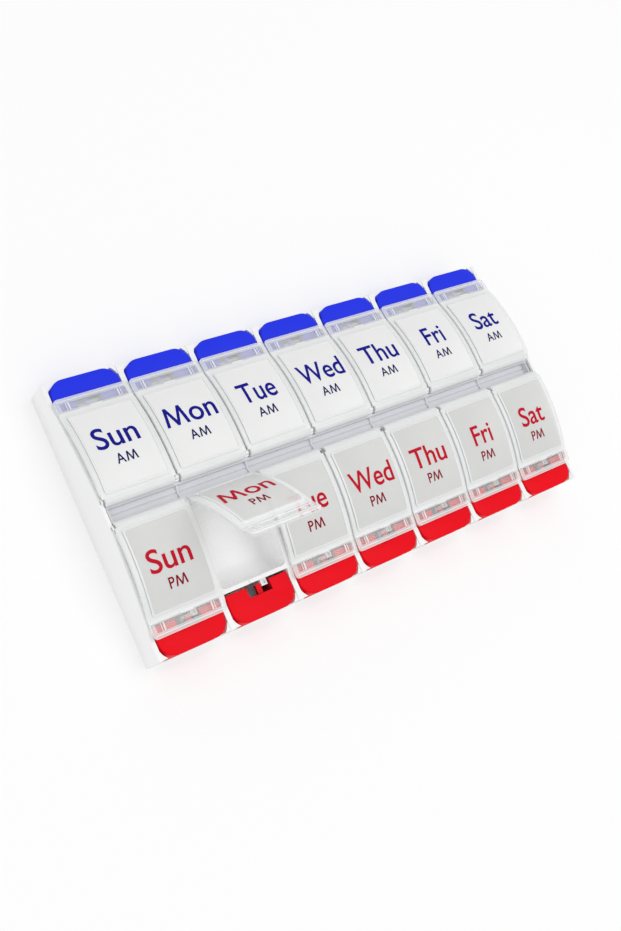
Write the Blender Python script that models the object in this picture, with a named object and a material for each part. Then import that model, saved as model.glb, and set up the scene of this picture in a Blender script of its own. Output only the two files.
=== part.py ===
# Weekly pill organizer with a morning row and an evening row of seven compartments.
# One moulded tray, fourteen clear hinged lids and fourteen rocking push buttons.
# Frame: +X from the first day to the last, +Y towards the morning row, +Z up, origin under the middle.

import math

import bmesh
import bpy
from mathutils import Matrix, Vector

# Days, one column each, and the two rows as a turn about +Z
DAYS = ("sun", "mon", "tue", "wed", "thu", "fri", "sat")
ROW_TURNS = {"am": 0.0, "pm": math.pi}

# Columns and walls, in metres
COLUMN_PITCH = 0.0305
DIVIDER_THICKNESS = 0.0018
FIN_THICKNESS = 0.0022
END_LEDGE = 0.0006
HALF_DEPTH = 0.0532
BUTTON_BAND = 0.0129
FRONT_WALL_THICKNESS = 0.0015
SPINE_HALF_WIDTH = 0.0031
BASE_THICKNESS = 0.0014
FLOOR_THICKNESS = 0.0016
TRAY_EDGE_RADIUS = 0.0006

# Arched rim that the end walls and dividers share, and the level fins beyond it
RIM_HEIGHT = 0.0198
RIM_RADIUS = 0.158
SHOULDER_RUN = 0.0037
SHOULDER_STEP = 0.00025

# Compartment
REAR_FILLET = 0.0040
SCOOP_RADIUS = 0.0090
SIDE_FILLET = 0.0018

# Trough along the spine: its walls, groove, webs and end slots
SPINE_DROP = 0.0012
TROUGH_DEPTH = 0.0036
TROUGH_WALL = 0.0008
GROOVE_WIDTH = 0.0006
GROOVE_DEPTH = 0.0005
WEB_THICKNESS = 0.0009
WEB_RISE = 0.0014
END_RIB_THICKNESS = 0.0006
END_SLOT_WIDTH = 0.0007
END_SLOT_DEPTH = 0.0010

# Hollow under the spine and the recess under the tray
SPINE_WALL = 0.0012
SPINE_ROOF = 0.0015
RECESS_DEPTH = 0.0005
RECESS_MARGIN = 0.0040
RECESS_CORNER = 0.0030

# Lid hinge
LID_AXIS_Y = 0.0050
LID_AXIS_DROP = 0.0001
BARREL_RADIUS = 0.0015
EAR_RADIUS = 0.0017
LID_PIN_RADIUS = 0.0007
PIN_CLEARANCE = 0.00025
PIN_TIP_GAP = 0.0002
RUNNING_GAP = 0.0003

# Lid shell: its arch rises from the hinge, crowns, and comes down over the front wall
LID_SIDE_GAP = 0.00035
LID_CROWN = 0.0024
LID_CROWN_RUN = 0.0072
LID_FRONT_RISE = 0.0016
LID_THICKNESS = 0.0013
LID_SKIRT = 0.0010
LID_EDGE_RADIUS = 0.0005
LID_START_GAP = 0.00035
PANEL_RISE = 0.0004
PANEL_MARGIN = 0.0018
PANEL_BACK_MARGIN = 0.0010
PANEL_FRONT_MARGIN = 0.0012
LID_OPEN_ANGLE = math.radians(62.6)
OPEN_LID = ("mon", "pm")

# Strip along the lid's front, over the wall and the button's inner edge
STRIP_BACK = 0.0007
STRIP_REACH = 0.0055
STRIP_THICKNESS = 0.0015
STRIP_BUTTON_GAP = 0.0005
STRIP_STEP = 0.0007
STRIP_WALL_GAP = 0.0004

# Lid hook over the button's tongue
HOOK_WIDTH = 0.0046
HOOK_SET_BACK = 0.0011
HOOK_LENGTH = 0.0022
HOOK_DROP = 0.0006
HOOK_FOOT_LENGTH = 0.0010

# Push button
BUTTON_SIDE_GAP = 0.00045
BUTTON_INNER_GAP = 0.0007
BUTTON_PROUD = 0.0004
BUTTON_FLOOR_GAP = 0.0022
BUTTON_CORNER = 0.0060
BUTTON_WALL = 0.0013
BUTTON_EDGE = 0.0004
BUTTON_AXIS_RUN = 0.0031
BUTTON_AXIS_Z = 0.0080
BUTTON_PIN_RADIUS = 0.0010
INNER_WALL_RELIEF = 0.0012
NOTCH_OFFSET = -0.00065
NOTCH_WIDTH = 0.0099
NOTCH_DEPTH = 0.0040
TONGUE_OFFSET = -0.0012
TONGUE_WIDTH = 0.0022
TONGUE_DROP = 0.0015
TONGUE_THICKNESS = 0.0015
TONGUE_SET_BACK = 0.0003

# Catch on the front wall beside the tongue, and the bump on top of the wall
CATCH_OFFSET = -0.00395
CATCH_WIDTH = 0.0026
CATCH_REACH = 0.0024
CATCH_DROP = 0.0013
CATCH_HEIGHT = 0.0060
CATCH_WALL = 0.0005
CATCH_POCKET = 0.0010
BUMP_BASE = 0.0084
BUMP_TOP = 0.0056
BUMP_RISE = 0.0005

# Faceting and how far a cutter runs past what it cuts
RIM_STEPS = 8
LID_STEPS = 5
FILLET_STEPS = 3
SCOOP_STEPS = 4
CORNER_STEPS = 4
LID_PIN_SIDES = 6
TRUNNION_SIDES = 8
EAR_SIDES = 10
EDGE_SEGMENTS = 2
RECESS_SEGMENTS = 3
OVERRUN = 0.004
SEAM = 0.0002
WELD_DISTANCE = 0.00001
FLAT_ANGLE = math.radians(0.5)
SHARP_ANGLE = math.radians(50.0)
SMOOTH_ANGLE = math.radians(32.0)

# Finishes: linear colour, roughness, opacity
TRAY_FINISH = ((0.86, 0.87, 0.86), 0.38, 1.0)
LID_FINISH = ((0.83, 0.84, 0.84), 0.22, 0.45)
AM_BUTTON_FINISH = ((0.024, 0.045, 0.80), 0.35, 1.0)
PM_BUTTON_FINISH = ((0.87, 0.010, 0.022), 0.35, 1.0)

# Flat outlines become prisms: side outlines are (y, z) and run along X, plans are (x, y) and run up Z
SIDE_TO_WORLD = Matrix(((0, 0, 1, 0), (1, 0, 0, 0), (0, 1, 0, 0), (0, 0, 0, 1)))


def column_x(index):
    return (index - (COLUMN_COUNT - 1) / 2) * COLUMN_PITCH


def boundary_x(index):
    return column_x(index) - HALF_PITCH


def arc_z(crown_y, crown_z, radius, y):
    return crown_z - radius + math.sqrt(radius ** 2 - (y - crown_y) ** 2)


def rim_z(y):
    return arc_z(0.0, RIM_HEIGHT, RIM_RADIUS, y)


def lid_top_z(y):
    return arc_z(LID_CROWN_Y, LID_CROWN_Z, LID_RADIUS, y)


# Lengths along X
COLUMN_COUNT = len(DAYS)
HALF_PITCH = COLUMN_PITCH / 2
HALF_COLUMNS = COLUMN_COUNT * HALF_PITCH
HALF_LENGTH = HALF_COLUMNS + END_LEDGE
CAVITY_HALF_WIDTH = HALF_PITCH - DIVIDER_THICKNESS / 2
CHANNEL_HALF_LENGTH = HALF_COLUMNS - DIVIDER_THICKNESS / 2
TROUGH_HALF_LENGTH = CHANNEL_HALF_LENGTH - END_SLOT_WIDTH - END_RIB_THICKNESS
BUTTON_HALF_WIDTH = HALF_PITCH - FIN_THICKNESS / 2 - BUTTON_SIDE_GAP
BARREL_HALF_LENGTH = CAVITY_HALF_WIDTH - RUNNING_GAP
LID_HALF_WIDTH = HALF_PITCH - LID_SIDE_GAP

# Places along Y
FRONT_WALL_OUTER = HALF_DEPTH - BUTTON_BAND
FRONT_WALL_INNER = FRONT_WALL_OUTER - FRONT_WALL_THICKNESS
SHOULDER_Y = FRONT_WALL_OUTER + SHOULDER_RUN
TROUGH_HALF_WIDTH = SPINE_HALF_WIDTH - TROUGH_WALL
BUTTON_INNER_Y = FRONT_WALL_OUTER + BUTTON_INNER_GAP
BUTTON_AXIS_Y = FRONT_WALL_OUTER + BUTTON_AXIS_RUN
LID_START = LID_AXIS_Y + EAR_RADIUS + LID_START_GAP
LID_CROWN_Y = LID_AXIS_Y + LID_CROWN_RUN
STRIP_START = FRONT_WALL_OUTER - STRIP_BACK
STRIP_END = FRONT_WALL_OUTER + STRIP_REACH
PANEL_START = LID_START + PANEL_BACK_MARGIN
PANEL_END = STRIP_START - PANEL_FRONT_MARGIN
HOOK_START = FRONT_WALL_OUTER + HOOK_SET_BACK

# Heights
ROOF = RIM_HEIGHT + OVERRUN
SPINE_TOP = RIM_HEIGHT - SPINE_DROP
TROUGH_FLOOR = RIM_HEIGHT - TROUGH_DEPTH
FIN_HEIGHT = rim_z(SHOULDER_Y) - SHOULDER_STEP
BUTTON_HEIGHT = FIN_HEIGHT + BUTTON_PROUD
BUTTON_BOTTOM = BASE_THICKNESS + BUTTON_FLOOR_GAP
BUMP_Z = rim_z(FRONT_WALL_INNER) + BUMP_RISE
LID_AXIS_Z = RIM_HEIGHT - LID_AXIS_DROP
LID_CROWN_Z = RIM_HEIGHT + LID_CROWN
LID_OVER_WALL = BUMP_Z + RUNNING_GAP
STRIP_BOTTOM_OUTER = BUTTON_HEIGHT + STRIP_BUTTON_GAP
STRIP_BOTTOM_INNER = STRIP_BOTTOM_OUTER + STRIP_STEP
STRIP_TOP_OUTER = STRIP_BOTTOM_OUTER + STRIP_THICKNESS

# The lid's arch passes through its crown and a point above the front wall's outer face
LID_ARCH_RUN = FRONT_WALL_OUTER - LID_CROWN_Y
LID_ARCH_DROP = LID_CROWN_Z - rim_z(FRONT_WALL_OUTER) - LID_FRONT_RISE
LID_RADIUS = (LID_ARCH_RUN ** 2 + LID_ARCH_DROP ** 2) / (2 * LID_ARCH_DROP)


def spread(start, end, steps):
    return [start + (end - start) * step / steps for step in range(steps + 1)]


def arc(centre, radius, start_deg, end_deg, steps):
    angles = [math.radians(a) for a in spread(start_deg, end_deg, steps)]
    return [(centre[0] + radius * math.cos(a), centre[1] + radius * math.sin(a)) for a in angles]


def new_collection(name):
    collection = bpy.data.collections.new(name)
    bpy.context.scene.collection.children.link(collection)
    return collection


def finish_material(name, finish):
    color, roughness, opacity = finish
    material = bpy.data.materials.new(name)
    material.use_nodes = True
    shader = material.node_tree.nodes["Principled BSDF"]
    shader.inputs["Base Color"].default_value = (*color, 1.0)
    shader.inputs["Roughness"].default_value = roughness
    shader.inputs["Metallic"].default_value = 0.0
    shader.inputs["Alpha"].default_value = opacity
    return material


def outline_mesh(name, outline, low, high, turn):
    curve = bpy.data.curves.new(name, "CURVE")
    curve.dimensions = "2D"
    curve.fill_mode = "BOTH"
    curve.extrude = (high - low) / 2
    spline = curve.splines.new("POLY")
    spline.points.add(len(outline) - 1)
    for point, (u, v) in zip(spline.points, outline):
        point.co = (u, v, 0.0, 1.0)
    spline.use_cyclic_u = True
    holder = bpy.data.objects.new(name, curve)
    bpy.context.scene.collection.objects.link(holder)
    graph = bpy.context.evaluated_depsgraph_get()
    mesh = bpy.data.meshes.new_from_object(holder.evaluated_get(graph))
    bpy.data.objects.remove(holder)
    bm = bmesh.new()
    bm.from_mesh(mesh)
    bmesh.ops.remove_doubles(bm, verts=bm.verts, dist=WELD_DISTANCE)
    bmesh.ops.dissolve_limit(bm, angle_limit=FLAT_ANGLE, verts=bm.verts, edges=bm.edges)
    shift = Matrix.Translation((0.0, 0.0, (high + low) / 2))
    bmesh.ops.transform(bm, matrix=turn @ shift, verts=bm.verts)
    bmesh.ops.recalc_face_normals(bm, faces=bm.faces)
    bm.to_mesh(mesh)
    bm.free()
    return mesh


def side_prism(name, outline, low_x, high_x):
    return outline_mesh(name, outline, low_x, high_x, SIDE_TO_WORLD)


def plan_prism(name, outline, low_z, high_z):
    return outline_mesh(name, outline, low_z, high_z, Matrix.Identity(4))


def box_mesh(name, low, high):
    low, high = Vector(low), Vector(high)
    size = high - low
    mesh = bpy.data.meshes.new(name)
    bm = bmesh.new()
    place = Matrix.Translation((low + high) / 2) @ Matrix.Diagonal((*size, 1.0))
    bmesh.ops.create_cube(bm, size=1.0, matrix=place)
    bm.to_mesh(mesh)
    bm.free()
    return mesh


def rod_mesh(name, low_x, high_x, y, z, radius, sides):
    mesh = bpy.data.meshes.new(name)
    bm = bmesh.new()
    place = Matrix.Translation(((low_x + high_x) / 2, y, z)) @ Matrix.Rotation(math.pi / 2, 4, "Y")
    bmesh.ops.create_cone(bm, cap_ends=True, segments=sides, radius1=radius, radius2=radius,
                          depth=high_x - low_x, matrix=place)
    bm.to_mesh(mesh)
    bm.free()
    return mesh


def bevel_edges(mesh, width, segments, wanted):
    bm = bmesh.new()
    bm.from_mesh(mesh)
    edges = [edge for edge in bm.edges if wanted(edge)]
    bmesh.ops.bevel(bm, geom=edges, offset=width, offset_type="OFFSET", segments=segments,
                    profile=0.5, affect="EDGES", material=-1, clamp_overlap=True)
    bm.to_mesh(mesh)
    bm.free()


def is_sharp(edge):
    return len(edge.link_faces) == 2 and edge.calc_face_angle() > SHARP_ANGLE


def merged_mesh(name, meshes, places):
    target = bpy.data.meshes.new(name)
    bm = bmesh.new()
    for mesh in meshes:
        for place in places:
            before = set(bm.verts)
            bm.from_mesh(mesh)
            fresh = [vert for vert in bm.verts if vert not in before]
            bmesh.ops.transform(bm, matrix=place, verts=fresh)
    bm.to_mesh(target)
    bm.free()
    return target


def cutter(name, mesh):
    shape = bpy.data.objects.new(name, mesh)
    cutters.objects.link(shape)
    shape.hide_render = True
    shape.display_type = "WIRE"
    return shape


def add_boolean(target, tool, operation):
    modifier = target.modifiers.new(tool.name, "BOOLEAN")
    modifier.object = tool
    modifier.operation = operation
    modifier.solver = "EXACT"


def evaluated_mesh(name, body, steps):
    # The body mesh with each (operation, mesh) step carried out, as one plain mesh
    work = cutter(name + "_work", body)
    tools = [cutter(f"{name}_{number}", mesh) for number, (_, mesh) in enumerate(steps)]
    for tool, (operation, _) in zip(tools, steps):
        add_boolean(work, tool, operation)
    graph = bpy.context.evaluated_depsgraph_get()
    result = bpy.data.meshes.new_from_object(work.evaluated_get(graph))
    result.name = name
    for shape in [work] + tools:
        bpy.data.objects.remove(shape)
    bm = bmesh.new()
    bm.from_mesh(result)
    bmesh.ops.remove_doubles(bm, verts=bm.verts, dist=WELD_DISTANCE)
    bm.to_mesh(result)
    bm.free()
    result.shade_smooth()
    result.set_sharp_from_angle(angle=SMOOTH_ANGLE)
    return result


def row_places():
    turns = [Matrix.Rotation(turn, 4, "Z") for turn in ROW_TURNS.values()]
    shifts = [Matrix.Translation((column_x(index), 0.0, 0.0)) for index in range(COLUMN_COUNT)]
    return [shift @ turn for shift in shifts for turn in turns]


# Tray


def tray_body_mesh():
    half = [(HALF_DEPTH, 0.0), (HALF_DEPTH, FIN_HEIGHT), (SHOULDER_Y, FIN_HEIGHT)]
    half += [(y, rim_z(y)) for y in spread(FRONT_WALL_OUTER, 0.0, RIM_STEPS)]
    left = [(-y, z) for y, z in reversed(half[:-1])]
    mesh = side_prism("tray_body", half + left, -HALF_LENGTH, HALF_LENGTH)
    bevel_edges(mesh, TRAY_EDGE_RADIUS, EDGE_SEGMENTS, is_sharp)
    return mesh


def compartment_mesh():
    outline = [(SPINE_HALF_WIDTH, ROOF)]
    outline += arc((SPINE_HALF_WIDTH + REAR_FILLET, FLOOR_THICKNESS + REAR_FILLET),
                   REAR_FILLET, 180, 270, FILLET_STEPS)
    outline += arc((FRONT_WALL_INNER - SCOOP_RADIUS, FLOOR_THICKNESS + SCOOP_RADIUS),
                   SCOOP_RADIUS, 270, 360, SCOOP_STEPS)
    outline += [(FRONT_WALL_INNER, ROOF)]
    mesh = side_prism("compartment", outline, -CAVITY_HALF_WIDTH, CAVITY_HALF_WIDTH)
    bevel_edges(mesh, SIDE_FILLET, EDGE_SEGMENTS, is_sharp)
    return mesh


def button_well_mesh():
    half = HALF_PITCH - FIN_THICKNESS / 2
    return box_mesh("button_well", (-half, FRONT_WALL_OUTER, BASE_THICKNESS),
                    (half, HALF_DEPTH + OVERRUN, ROOF))


def hinge_clearance_mesh():
    # Clears the corner fillets beside the barrel, from one divider to the next
    reach = BARREL_RADIUS + RUNNING_GAP
    return box_mesh("hinge_clearance", (-CAVITY_HALF_WIDTH, SPINE_HALF_WIDTH + SEAM, LID_AXIS_Z - reach),
                    (CAVITY_HALF_WIDTH, LID_AXIS_Y + reach, ROOF))


def spine_channel_mesh():
    # Room over the spine for both rows of barrels, from one end wall to the other
    reach = SPINE_HALF_WIDTH + RUNNING_GAP
    return box_mesh("spine_channel", (-CHANNEL_HALF_LENGTH, -reach, SPINE_TOP),
                    (CHANNEL_HALF_LENGTH, reach, ROOF))


def trough_mesh():
    return box_mesh("trough", (-TROUGH_HALF_LENGTH, -TROUGH_HALF_WIDTH, TROUGH_FLOOR),
                    (TROUGH_HALF_LENGTH, TROUGH_HALF_WIDTH, ROOF))


def groove_mesh():
    half = TROUGH_HALF_LENGTH - SEAM
    return box_mesh("groove", (-half, -GROOVE_WIDTH / 2, TROUGH_FLOOR - GROOVE_DEPTH),
                    (half, GROOVE_WIDTH / 2, TROUGH_FLOOR + GROOVE_DEPTH))


def end_slot_meshes():
    meshes = []
    for side in (-1, 1):
        low, high = sorted((side * (CHANNEL_HALF_LENGTH - END_SLOT_WIDTH), side * CHANNEL_HALF_LENGTH))
        meshes.append(box_mesh("end_slot", (low, -TROUGH_HALF_WIDTH, TROUGH_FLOOR - END_SLOT_DEPTH),
                               (high, TROUGH_HALF_WIDTH, ROOF)))
    return meshes


def web_mesh():
    # V-shaped web between the spine's walls, standing on the trough's floor
    reach = TROUGH_HALF_WIDTH + SEAM
    foot = TROUGH_FLOOR - GROOVE_DEPTH - SEAM
    top = TROUGH_FLOOR + WEB_RISE
    outline = [(-reach, foot), (reach, foot), (reach, top), (0.0, TROUGH_FLOOR + SEAM), (-reach, top)]
    return side_prism("web", outline, -WEB_THICKNESS / 2, WEB_THICKNESS / 2)


def spine_hollow_mesh():
    half = SPINE_HALF_WIDTH - SPINE_WALL
    length = HALF_LENGTH - RECESS_MARGIN - SEAM
    top = TROUGH_FLOOR - GROOVE_DEPTH - SPINE_ROOF
    return box_mesh("spine_hollow", (-length, -half, -OVERRUN), (length, half, top))


def base_recess_mesh():
    half_x = HALF_LENGTH - RECESS_MARGIN
    half_y = HALF_DEPTH - RECESS_MARGIN
    mesh = box_mesh("base_recess", (-half_x, -half_y, -OVERRUN), (half_x, half_y, RECESS_DEPTH))

    def is_upright(edge):
        return abs(edge.verts[0].co.z - edge.verts[1].co.z) > OVERRUN

    bevel_edges(mesh, RECESS_CORNER, RECESS_SEGMENTS, is_upright)
    return mesh


def ear_meshes():
    meshes = []
    for index in range(COLUMN_COUNT + 1):
        middle = boundary_x(index)
        low, high = middle - DIVIDER_THICKNESS / 2, middle + DIVIDER_THICKNESS / 2
        if index == 0:
            low = middle
        if index == COLUMN_COUNT:
            high = middle
        for side in (-1, 1):
            meshes.append(rod_mesh("ear", low + SEAM, high - SEAM, side * LID_AXIS_Y, LID_AXIS_Z,
                                   EAR_RADIUS, EAR_SIDES))
    return meshes


def pin_hole_meshes(y, z, radius, wall, sides):
    meshes = []
    for index in range(COLUMN_COUNT + 1):
        middle = boundary_x(index)
        low, high = middle - wall / 2 - SEAM, middle + wall / 2 + SEAM
        if index == 0:
            low = middle
        if index == COLUMN_COUNT:
            high = middle
        for side in (-1, 1):
            meshes.append(rod_mesh("pin_hole", low, high, side * y, z, radius, sides))
    return meshes


def bump_mesh():
    # A trapezoid in X and Z standing on the front wall's top
    foot = rim_z(FRONT_WALL_OUTER) - SEAM
    mesh = box_mesh("bump", (-BUMP_BASE / 2, FRONT_WALL_INNER + SEAM, foot - OVERRUN),
                    (BUMP_BASE / 2, FRONT_WALL_OUTER - SEAM, BUMP_Z))
    for vert in mesh.vertices:
        if vert.co.z > foot:
            vert.co.x *= BUMP_TOP / BUMP_BASE
    return mesh


def catch_meshes():
    low_x = CATCH_OFFSET - CATCH_WIDTH / 2
    high_x = CATCH_OFFSET + CATCH_WIDTH / 2
    end_y = FRONT_WALL_OUTER + CATCH_REACH
    top = BUTTON_HEIGHT - CATCH_DROP
    block = box_mesh("catch", (low_x, FRONT_WALL_OUTER - SEAM, top - CATCH_HEIGHT), (high_x, end_y, top))
    pocket_y = FRONT_WALL_OUTER + CATCH_WALL
    pocket = box_mesh("catch_pocket", (low_x + CATCH_WALL, pocket_y, top - CATCH_POCKET),
                      (high_x - CATCH_WALL, end_y - CATCH_WALL, top + OVERRUN))
    return block, pocket


def tray_mesh():
    here = [Matrix.Identity(4)]
    rows = row_places()
    boundaries = [Matrix.Translation((boundary_x(index), 0.0, 0.0)) for index in range(1, COLUMN_COUNT)]
    block, pocket = catch_meshes()
    lid_holes = pin_hole_meshes(LID_AXIS_Y, LID_AXIS_Z, LID_PIN_RADIUS + PIN_CLEARANCE,
                                DIVIDER_THICKNESS, LID_PIN_SIDES)
    button_holes = pin_hole_meshes(BUTTON_AXIS_Y, BUTTON_AXIS_Z, BUTTON_PIN_RADIUS + PIN_CLEARANCE,
                                   FIN_THICKNESS, TRUNNION_SIDES)
    return evaluated_mesh("tray", tray_body_mesh(), [
        ("DIFFERENCE", merged_mesh("compartments", [compartment_mesh()], rows)),
        ("DIFFERENCE", merged_mesh("button_wells", [button_well_mesh()], rows)),
        ("DIFFERENCE", merged_mesh("hinge_clearances", [hinge_clearance_mesh()], rows)),
        ("DIFFERENCE", spine_channel_mesh()),
        ("DIFFERENCE", trough_mesh()),
        ("DIFFERENCE", groove_mesh()),
        ("DIFFERENCE", merged_mesh("end_slots", end_slot_meshes(), here)),
        ("UNION", merged_mesh("webs", [web_mesh()], boundaries)),
        ("DIFFERENCE", spine_hollow_mesh()),
        ("DIFFERENCE", base_recess_mesh()),
        ("UNION", merged_mesh("ears", ear_meshes(), here)),
        ("DIFFERENCE", merged_mesh("lid_pin_holes", lid_holes, here)),
        ("UNION", merged_mesh("bumps", [bump_mesh()], rows)),
        ("UNION", merged_mesh("catches", [block], rows)),
        ("DIFFERENCE", merged_mesh("pockets", [pocket], rows)),
        ("DIFFERENCE", merged_mesh("button_pin_holes", button_holes, here)),
    ])


# Lid, drawn closed on the morning side, then moved so that its hinge axis is the origin


def plate_top_z(y):
    # The arch, then a straight slope down to the strip's outer edge
    if y <= STRIP_START:
        return lid_top_z(y)
    share = (y - STRIP_START) / (STRIP_END - STRIP_START)
    return (1 - share) * lid_top_z(STRIP_START) + share * STRIP_TOP_OUTER


def lid_plate_mesh():
    top = [(y, lid_top_z(y)) for y in spread(LID_START, STRIP_START, LID_STEPS)]
    under_end = FRONT_WALL_INNER - STRIP_WALL_GAP
    under = [(y, lid_top_z(y) - LID_THICKNESS) for y in spread(under_end, LID_START, LID_STEPS)]
    outline = top + [(STRIP_END, STRIP_TOP_OUTER), (STRIP_END, STRIP_BOTTOM_OUTER)]
    inner = FRONT_WALL_OUTER + STRIP_WALL_GAP
    outline += [(inner, STRIP_BOTTOM_INNER), (inner, LID_OVER_WALL), (under_end, LID_OVER_WALL)] + under
    mesh = side_prism("lid_plate", outline, -LID_HALF_WIDTH, LID_HALF_WIDTH)

    def on_top(edge):
        heights = [vert.co.z - plate_top_z(vert.co.y) for vert in edge.verts]
        return is_sharp(edge) and min(heights) > -WELD_DISTANCE

    bevel_edges(mesh, LID_EDGE_RADIUS, 1, on_top)
    return mesh


def lid_panel_mesh():
    base = PANEL_RISE + LID_THICKNESS / 2
    ys = spread(PANEL_START, PANEL_END, LID_STEPS)
    outline = [(y, lid_top_z(y) + PANEL_RISE) for y in ys]
    outline += [(y, lid_top_z(y) + PANEL_RISE - base) for y in reversed(ys)]
    half = LID_HALF_WIDTH - PANEL_MARGIN
    return side_prism("lid_panel", outline, -half, half)


def lid_skirt_mesh(side):
    outline = [(y, rim_z(y) + RUNNING_GAP) for y in spread(LID_START, FRONT_WALL_OUTER, LID_STEPS)]
    outline += [(y, lid_top_z(y) - LID_THICKNESS / 2)
                for y in spread(FRONT_WALL_OUTER, LID_START, LID_STEPS)]
    edges = sorted((side * (LID_HALF_WIDTH - SEAM), side * (LID_HALF_WIDTH - LID_SKIRT)))
    return side_prism("lid_skirt", outline, *edges)


def lid_root_mesh():
    # Web from the hinge barrel up to the plate, between the dividers
    reach = LID_START + LID_THICKNESS
    barrel_top = LID_AXIS_Z + BARREL_RADIUS
    outline = [(LID_AXIS_Y, LID_AXIS_Z), (LID_START, lid_top_z(LID_START) - LID_THICKNESS)]
    outline += [(reach, lid_top_z(reach) - LID_THICKNESS + SEAM), (reach, lid_top_z(reach) - SEAM)]
    outline += [(LID_START, lid_top_z(LID_START) - SEAM), (LID_AXIS_Y, barrel_top - SEAM)]
    half = BARREL_HALF_LENGTH - SEAM
    return side_prism("lid_root", outline, -half, half)


def lid_barrel_mesh():
    return rod_mesh("lid_barrel", -BARREL_HALF_LENGTH, BARREL_HALF_LENGTH, LID_AXIS_Y, LID_AXIS_Z,
                    BARREL_RADIUS, EAR_SIDES)


def lid_pins_mesh():
    tip = HALF_PITCH - PIN_TIP_GAP
    return rod_mesh("lid_pins", -tip, tip, LID_AXIS_Y, LID_AXIS_Z, LID_PIN_RADIUS, LID_PIN_SIDES)


def lid_hook_mesh():
    # Hook seen from the side: a stem under the strip with a foot towards the compartment
    end = HOOK_START + HOOK_LENGTH
    stem = end - HOOK_FOOT_LENGTH
    bottom = BUTTON_HEIGHT - HOOK_DROP
    foot_top = (bottom + STRIP_BOTTOM_OUTER) / 2
    root = STRIP_BOTTOM_INNER + LID_THICKNESS / 2
    outline = [(HOOK_START, bottom), (end, bottom), (end, root), (stem, root),
               (stem, foot_top), (HOOK_START, foot_top)]
    return side_prism("lid_hook", outline, -HOOK_WIDTH / 2, HOOK_WIDTH / 2)


def lid_mesh():
    mesh = evaluated_mesh("lid", lid_plate_mesh(), [
        ("UNION", lid_panel_mesh()),
        ("UNION", lid_skirt_mesh(-1)),
        ("UNION", lid_skirt_mesh(1)),
        ("UNION", lid_root_mesh()),
        ("UNION", lid_barrel_mesh()),
        ("UNION", lid_pins_mesh()),
        ("UNION", lid_hook_mesh()),
    ])
    mesh.transform(Matrix.Translation((0.0, -LID_AXIS_Y, -LID_AXIS_Z)))
    return mesh


# Button, drawn on the morning side, then moved so that its pivot is the origin


def button_plan(inset):
    half = BUTTON_HALF_WIDTH - inset
    inner = BUTTON_INNER_Y + inset
    outer = HALF_DEPTH - inset
    radius = BUTTON_CORNER - inset
    notch_low = NOTCH_OFFSET - NOTCH_WIDTH / 2 - inset
    notch_high = NOTCH_OFFSET + NOTCH_WIDTH / 2 + inset
    notch_end = BUTTON_INNER_Y + NOTCH_DEPTH + inset
    plan = [(notch_high, inner), (half, inner)]
    plan += arc((half - radius, outer - radius), radius, 0, 90, CORNER_STEPS)
    plan += arc((radius - half, outer - radius), radius, 90, 180, CORNER_STEPS)
    plan += [(-half, inner), (notch_low, inner), (notch_low, notch_end), (notch_high, notch_end)]
    return plan


def button_shell_mesh():
    mesh = plan_prism("button_shell", button_plan(0.0), BUTTON_BOTTOM, BUTTON_HEIGHT)

    def at_top(edge):
        return is_sharp(edge) and all(vert.co.z > BUTTON_HEIGHT - WELD_DISTANCE for vert in edge.verts)

    bevel_edges(mesh, BUTTON_EDGE, 1, at_top)
    return mesh


def button_hollow_mesh():
    return plan_prism("button_hollow", button_plan(BUTTON_WALL), BUTTON_BOTTOM - OVERRUN,
                      BUTTON_HEIGHT - BUTTON_WALL)


def inner_relief_mesh():
    # Room under the inner wall, so that it clears the tray as the button rocks
    return box_mesh("inner_relief", (-HALF_PITCH, BUTTON_INNER_Y - OVERRUN, BUTTON_BOTTOM - OVERRUN),
                    (HALF_PITCH, BUTTON_INNER_Y + INNER_WALL_RELIEF, BUTTON_AXIS_Z))


def tongue_mesh():
    low_y = BUTTON_INNER_Y + TONGUE_SET_BACK
    high_y = BUTTON_INNER_Y + NOTCH_DEPTH + BUTTON_WALL / 2
    top = BUTTON_HEIGHT - TONGUE_DROP
    low_x = TONGUE_OFFSET - TONGUE_WIDTH / 2
    high_x = TONGUE_OFFSET + TONGUE_WIDTH / 2
    return box_mesh("tongue", (low_x, low_y, top - TONGUE_THICKNESS), (high_x, high_y, top))


def trunnion_mesh(side):
    tip = HALF_PITCH - PIN_TIP_GAP
    ends = sorted((side * (BUTTON_HALF_WIDTH - BUTTON_WALL / 2), side * tip))
    return rod_mesh("trunnion", *ends, BUTTON_AXIS_Y, BUTTON_AXIS_Z, BUTTON_PIN_RADIUS, TRUNNION_SIDES)


def button_mesh():
    mesh = evaluated_mesh("button", button_shell_mesh(), [
        ("DIFFERENCE", button_hollow_mesh()),
        ("DIFFERENCE", inner_relief_mesh()),
        ("UNION", tongue_mesh()),
        ("UNION", trunnion_mesh(-1)),
        ("UNION", trunnion_mesh(1)),
    ])
    mesh.transform(Matrix.Translation((0.0, -BUTTON_AXIS_Y, -BUTTON_AXIS_Z)))
    return mesh


def place_part(name, mesh, material, location, tilt=0.0, turn=0.0):
    own_mesh = mesh.copy()
    own_mesh.name = name
    own_mesh.materials.clear()
    own_mesh.materials.append(material)
    part = bpy.data.objects.new(name, own_mesh)
    part.location = location
    part.rotation_euler = (tilt, 0.0, turn)
    parts.objects.link(part)
    return part


for old in list(bpy.data.objects):
    bpy.data.objects.remove(old, do_unlink=True)
parts = new_collection("pill_organizer")
cutters = new_collection("cutters")

place_part("tray", tray_mesh(), finish_material("tray_white", TRAY_FINISH), (0.0, 0.0, 0.0))

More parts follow.
